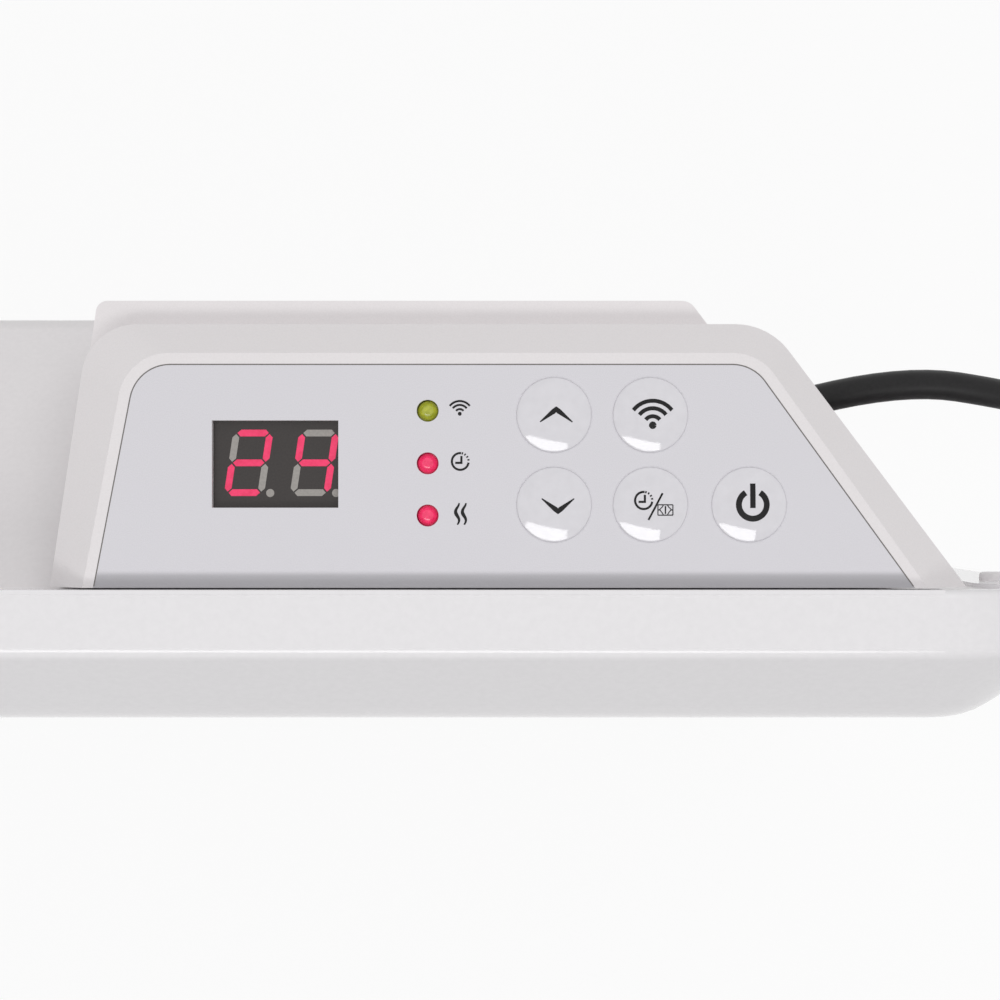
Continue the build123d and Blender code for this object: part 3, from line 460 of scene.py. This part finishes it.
def digitSegments():  # outlines of a digit's segments, centred, before its slant
    w, h, s, g = (display[k] for k in ("width", "height", "stroke", "gap"))
    x, top = w / 2 - s / 2, h / 2 - s / 2
    half = s / 2

    def across(y):
        return [
            (-x + g, y), (-x + g + half, y + half), (x - g - half, y + half), (x - g, y),
            (x - g - half, y - half), (-x + g + half, y - half),
        ]

    def upright(px, low, high):
        return [
            (px, high - g), (px + half, high - g - half), (px + half, low + g + half), (px, low + g),
            (px - half, low + g + half), (px - half, high - g - half),
        ]

    return {
        "a": across(top), "g": across(0), "d": across(-top),
        "f": upright(-x, 0, top), "b": upright(x, 0, top),
        "e": upright(-x, -top, 0), "c": upright(x, -top, 0),
    }


def addDisplay():
    lit, unlit = bmesh.new(), bmesh.new()
    lean = math.tan(math.radians(display["slant"]))
    place = Matrix.Translation(at(0, 0, display["depth"]))
    for (cx, cy), on in zip(display["digits"], display["lit"]):
        for name, points in digitSegments().items():
            moved = [(cx + x + lean * y, cy + y) for x, y in points]
            solidOutline(lit if name in on else unlit, moved, place, display["thick"])
        dotX, dotY = display["dotFromMiddle"]
        solidOutline(unlit, disc((cx + dotX, cy + dotY), display["dot"]), place, display["thick"])
    finish(lit, "digitsLit", segmentOn)
    finish(unlit, "digitsUnlit", segmentOff)


addDisplay()


# Signs in ink: each is a list of runs of points, in millimetres, with the widths of their strokes
ink = {"thick": 0.03, "lift": 0.01}


def even(width):
    return (width, width, width)


wifiSign = {
    "low": -2.4,  # middle of the dot and the arcs, under the sign's own
    "dot": 0.4, "dotStroke": 0.8,
    "arcs": (1.9, 3.6, 5.2), "span": (38, 142), "stroke": 0.85,
}


def wifiRuns(scale):  # a dot and three arcs over it
    middle = (0, wifiSign["low"] * scale)
    runs = [(arc(middle, wifiSign["dot"] * scale, 0, 360, 20), even(wifiSign["dotStroke"] * scale))]
    for radius in wifiSign["arcs"]:
        runs.append((arc(middle, radius * scale, *wifiSign["span"]), even(wifiSign["stroke"] * scale)))
    return runs


clockSign = {
    "ring": (84, 352), "ringSteps": 32,  # degrees from +X
    "dots": (6, 28, 50, 70), "dotSpan": 10, "dotSteps": 3,  # the ring's upper right is dotted
    "corner": (0.25, -0.3),  # where the hands meet
    "upright": 0.66, "level": 0.6,  # ends of the hands, as shares of the radius
}


def clockRuns(radius, width, middle=(0, 0)):
    x, y = middle
    runs = [(arc(middle, radius, *clockSign["ring"], clockSign["ringSteps"]), even(width))]
    for start in clockSign["dots"]:
        dot = arc(middle, radius, start, start + clockSign["dotSpan"], clockSign["dotSteps"])
        runs.append((dot, even(width)))
    corner = (x + clockSign["corner"][0], y + clockSign["corner"][1])
    top = (corner[0], y + clockSign["upright"] * radius)
    runs.append((straight(top, (corner[0], corner[1] - width / 2)), even(width)))
    runs.append((straight(corner, (x - clockSign["level"] * radius, corner[1])), even(width)))
    return runs


heatSign = {
    "apart": 1.44, "height": 4.6, "sway": 0.38,
    "waves": 1.25, "steps": 20, "widths": (0.32, 0.78, 0.32),
}


def heatRuns():  # two rising wavy lines, thin at their ends
    runs = []
    for side in (-0.5, 0.5):
        wave = []
        for n in range(heatSign["steps"] + 1):
            share = n / heatSign["steps"]
            sway = heatSign["sway"] * math.cos(2 * math.pi * heatSign["waves"] * share)
            wave.append((side * heatSign["apart"] + sway, (0.5 - share) * heatSign["height"]))
        runs.append((wave, heatSign["widths"]))
    return runs


chevron = {"reach": 3.45, "foot": -1.6, "tip": 1.1, "widths": (0.22, 1.25, 0.22)}


def chevronRuns(way):  # 1 points up and -1 down
    foot, tip = chevron["foot"] * way, chevron["tip"] * way
    left, corner, right = (-chevron["reach"], foot), (0, tip), (chevron["reach"], foot)
    return [(straight(left, corner) + straight(corner, right)[1:], chevron["widths"])]


windowSign = {
    "half": (1.6, 1.1), "stroke": 0.22,
    "bar": 0.3, "barShare": 0.75,  # the upright between the curtains
    "drape": ((0.45, 1.0), (0.75, 0.55), (1.3, 0.1), (0.75, -0.5), (0.45, -1.0)),
    "tie": (1.0, 1.55),
}


def windowRuns(middle):  # a small window whose curtains are drawn back
    x, y = middle
    w, h = windowSign["half"]
    width = even(windowSign["stroke"])
    reach = windowSign["barShare"] * h
    corners = [(x - w, y - h), (x + w, y - h), (x + w, y + h), (x - w, y + h)]
    runs = [(straight(a, b), width) for a, b in zip(corners, corners[1:] + corners[:1])]
    runs.append((straight((x, y - reach), (x, y + reach)), even(windowSign["bar"])))
    for side in (-1, 1):
        runs.append(([(x + side * px, y + py) for px, py in windowSign["drape"]], width))
        tieStart, tieEnd = windowSign["tie"]
        runs.append((straight((x + side * tieStart, y), (x + side * tieEnd, y)), width))
    return runs


powerSign = {
    "radius": 2.97, "span": (121, 419), "steps": 40, "stroke": 1.25,
    "bar": (4.5, -0.7), "barStroke": 1.15,
}


def powerRuns():  # an open ring and the bar in its gap
    top, bottom = powerSign["bar"]
    ring = arc((0, 0), powerSign["radius"], *powerSign["span"], powerSign["steps"])
    bar = straight((0, top), (0, bottom))
    return [(ring, even(powerSign["stroke"])), (bar, even(powerSign["barStroke"]))]


timerSign = {
    "clock": (-1.52, 0.9), "clockRadius": 1.82, "clockStroke": 0.46,
    "slash": ((-0.51, -3.24), (2.5, 2.45)), "slashStroke": 0.42,
    "window": (3.1, -1.12),
}


def timerRuns():
    runs = clockRuns(timerSign["clockRadius"], timerSign["clockStroke"], timerSign["clock"])
    runs.append((straight(*timerSign["slash"]), even(timerSign["slashStroke"])))
    return runs + windowRuns(timerSign["window"])


filmIcons = {
    "wifi": (-8.56, 19.6), "clock": (-8.46, 8.2), "heat": (-8.35, -2.95),  # middles, right of the lamps
    "wifiScale": 0.52, "clockRadius": 1.78, "clockStroke": 0.46,
}


def addFilmIcons():
    clock = clockRuns(filmIcons["clockRadius"], filmIcons["clockStroke"])
    for name, middle, runs in (
        ("iconWifiSmall", filmIcons["wifi"], wifiRuns(filmIcons["wifiScale"])),
        ("iconClockSmall", filmIcons["clock"], clock),
        ("iconHeat", filmIcons["heat"], heatRuns()),
    ):
        mesh = bmesh.new()
        for points, widths in runs:
            stroke(mesh, points, widths, Matrix.Translation(at(*middle, 0)), ink["thick"])
        finish(mesh, name, printedInk)


buttons = {
    "places": {
        "up": (11.5, 18.1), "wifi": (32.0, 18.1),
        "down": (11.5, -1.0), "timer": (32.0, -1.0), "power": (53.0, -1.0),
    },
    "radius": 8.0,
    "edge": 0.35,  # height of a cap's rim over the film
    "rise": 1.3,  # of its crown over that rim
}


def domeHeight(x, y):  # of a cap's crown above the film, in millimetres
    crown = (buttons["radius"] ** 2 + buttons["rise"] ** 2) / (2 * buttons["rise"])
    return buttons["edge"] + buttons["rise"] - crown + math.sqrt(crown**2 - x**2 - y**2)


capShifts = {  # of a sign from the middle of its cap
    "up": (0.43, 0.05), "down": (0.8, -0.3), "wifi": (0.4, 0.16), "timer": (0, 0), "power": (0.64, 0),
}


def addCapIcons():
    signs = {
        "up": chevronRuns(1), "down": chevronRuns(-1),
        "wifi": wifiRuns(1), "timer": timerRuns(), "power": powerRuns(),
    }
    for key, runs in signs.items():
        mesh = bmesh.new()
        middle = at(*buttons["places"][key], 0)
        shiftX, shiftY = capShifts[key]
        for points, widths in runs:
            moved = [(x + shiftX, y + shiftY) for x, y in points]
            stroke(mesh, moved, widths, Matrix.Translation(middle), ink["thick"])
        for vert in mesh.verts:
            offset = (vert.co - middle) * perMetre
            vert.co.z += (domeHeight(offset.x, offset.y) + ink["lift"]) / perMetre
        finish(mesh, "icon" + key.capitalize(), printedInk, f"{key}_button")


# A thin soft rim of the film turns down into the gap round each cap
collar = {"inner": 8.015, "outer": 8.2, "top": 0.0, "bottom": -0.3, "steps": 96}


def addCollars():
    mesh = bmesh.new()
    for cx, cy in buttons["places"].values():
        rings = []
        for radius, z in (
            (collar["inner"], collar["bottom"]), (collar["outer"], collar["bottom"]),
            (collar["outer"], collar["top"]), (collar["inner"], collar["top"]),
        ):
            rings.append([mesh.verts.new(at(x, y, z)) for x, y in disc((cx, cy), radius, collar["steps"])])
        for ring, other in zip(rings, rings[1:] + rings[:1]):
            for n in range(collar["steps"]):
                after = (n + 1) % collar["steps"]
                mesh.faces.new((ring[n], ring[after], other[after], other[n]))
    finish(mesh, "filmCollars", petFilm)


addCollars()
addFilmIcons()
addCapIcons()
print("display and icons printed")


# The film's edge: a fine painted shadow line in the groove between the film and the rim
film = {
    "outline": [(-86.45, -18.4), (-77.35, 28.85), (53.8, 28.85), (88.0, -18.4)],
    "corner": 8.65,
    "cornerSteps": 12,
    "line": 0.26,
    "thick": 0.02,
}


def roundedRun(points, radius):  # open run whose inner corners become arcs
    run = [points[0]]
    for before, here, after in zip(points, points[1:], points[2:]):
        back = (Vector(before) - Vector(here)).normalized()
        on = (Vector(after) - Vector(here)).normalized()
        half = math.acos(back.dot(on)) / 2
        reach = radius / math.tan(half)
        middle = Vector(here) + (back + on).normalized() * radius / math.sin(half)
        first = Vector(here) + back * reach - middle
        last = Vector(here) + on * reach - middle
        turn = first.angle_signed(last)
        start = math.atan2(first.y, first.x)
        for n in range(film["cornerSteps"] + 1):
            angle = start - turn * n / film["cornerSteps"]
            run.append((middle.x + radius * math.cos(angle), middle.y + radius * math.sin(angle)))
    return run + [points[-1]]


def addFilmEdgeShadow():
    mesh = bmesh.new()
    run = roundedRun(film["outline"], film["corner"])
    stroke(mesh, run, even(film["line"]), Matrix.Translation(at(0, 0, 0)), film["thick"])
    finish(mesh, "filmEdgeShadowLine", grooveShadowPaint)


addFilmEdgeShadow()


# Studio: pale floor, white to the camera, and soft light from the front and above
studio = {
    "floorSize": 12.0,
    "worldStrength": 0.43,
    "white": (1, 1, 1, 1),
    "whiteShare": 0.9,  # the rest shows the shadows
    "paper": "fafafa",
    "target": (0.2, 0, 0.44),
    "lights": (  # name, place, width, depth, power
        ("frontLight", (0.1, -1.9, 1.5), 1.2, 1.2, 1.8),
        ("topLight", (0.5, 0.9, 2.0), 1.5, 1.5, 11.6),
        ("softBox", (0.06, -0.66, 1.63), 1.0, 0.34, 4.2),
    ),
}


def seenRays(owner):  # 1 for rays from the camera, off metal and through glass, 0 for those that light
    path = addNode(owner, "ShaderNodeLightPath")
    either = addNode(
        owner, "ShaderNodeMath", {"operation": "MAXIMUM"},
        {0: path.outputs["Is Camera Ray"], 1: path.outputs["Is Glossy Ray"]},
    )
    return addNode(
        owner, "ShaderNodeMath", {"operation": "MAXIMUM"},
        {0: either.outputs[0], 1: path.outputs["Is Transmission Ray"]},
    )


def cameraWhite(material, shader):  # mixes in plain white, and keeps a share of the shadows
    white = addNode(material, "ShaderNodeEmission", {"Color": studio["white"], "Strength": 1.0})
    seen = seenRays(material)
    share = addNode(
        material, "ShaderNodeMath", {"operation": "MULTIPLY", 1: studio["whiteShare"]},
        {0: seen.outputs[0]},
    )
    return addNode(
        material, "ShaderNodeMixShader", None,
        {0: share.outputs[0], 1: shader.outputs[0], 2: white.outputs[0]},
    )


def addStudio():
    world = bpy.data.worlds.new("studio")
    bpy.context.scene.world = world
    world.use_nodes = True
    world.node_tree.nodes.clear()
    plain = {"Color": studio["white"], "Strength": studio["worldStrength"]}
    lit = addNode(world, "ShaderNodeBackground", plain)
    seen = addNode(world, "ShaderNodeBackground", {"Color": studio["white"], "Strength": 1.0})
    mix = addNode(
        world, "ShaderNodeMixShader", None,
        {0: seenRays(world).outputs[0], 1: lit.outputs[0], 2: seen.outputs[0]},
    )
    addNode(world, "ShaderNodeOutputWorld", None, {"Surface": mix.outputs[0]})

    mesh = bmesh.new()
    bmesh.ops.create_grid(mesh, x_segments=1, y_segments=1, size=studio["floorSize"] / 2)
    data = bpy.data.meshes.new("floor")
    mesh.to_mesh(data)
    mesh.free()
    floor = bpy.data.objects.new("floor", data)
    bpy.context.scene.collection.objects.link(floor)
    paper = newMaterial("paperSweep")  # matt white background paper
    matt = addNode(paper, "ShaderNodeBsdfDiffuse", {"Color": linear(studio["paper"])})
    shown = cameraWhite(paper, matt)
    addNode(paper, "ShaderNodeOutputMaterial", None, {"Surface": shown.outputs[0]})
    data.materials.append(paper)

    for name, place, width, depth, power in studio["lights"]:
        light = bpy.data.lights.new(name, "AREA")
        light.shape = "RECTANGLE"
        light.size = width
        light.size_y = depth
        light.energy = power
        lamp = bpy.data.objects.new(name, light)
        lamp.location = place
        aim = Vector(studio["target"]) - Vector(place)
        lamp.rotation_euler = aim.to_track_quat("-Z", "Y").to_euler()
        lamp.visible_glossy = name != "topLight"
        bpy.context.scene.collection.objects.link(lamp)
    bpy.context.scene.view_settings.view_transform = "Standard"


addStudio()
print("studio lit")
